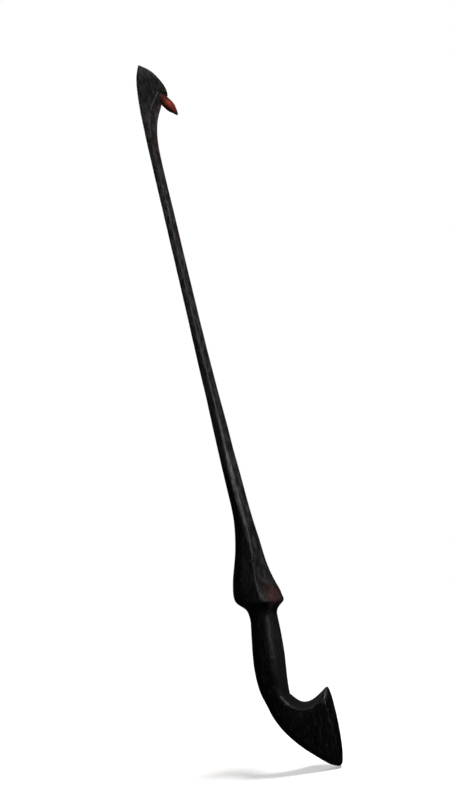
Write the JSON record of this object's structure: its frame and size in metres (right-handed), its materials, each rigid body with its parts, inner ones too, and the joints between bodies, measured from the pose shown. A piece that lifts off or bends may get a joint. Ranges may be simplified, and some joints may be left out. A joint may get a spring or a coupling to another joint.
{
  "type": "spear thrower",
  "caption": "Carved dark-wood spear thrower: leaf-shaped head with a red wooden spur, ridged shaft, flared bell hand stop, oval grip and swept fin tail.",
  "frame": {"origin": "middle of the grip, where the closed hand holds it", "axes": "+Z along the shaft towards the head, +X towards the side that carries the spur, +Y through the board's thickness"},
  "size_m": [0.0694, 0.0358, 0.6917],
  "materials": {
    "dark_hardwood": "black-stained open-pored hardwood, oiled to a satin sheen",
    "red_hardwood": "oiled red-brown hardwood, satin"
  },
  "bodies": {
    "root": {"carved_body": "dark_hardwood", "spur_peg": "red_hardwood"}
  },
  "joints": []
}
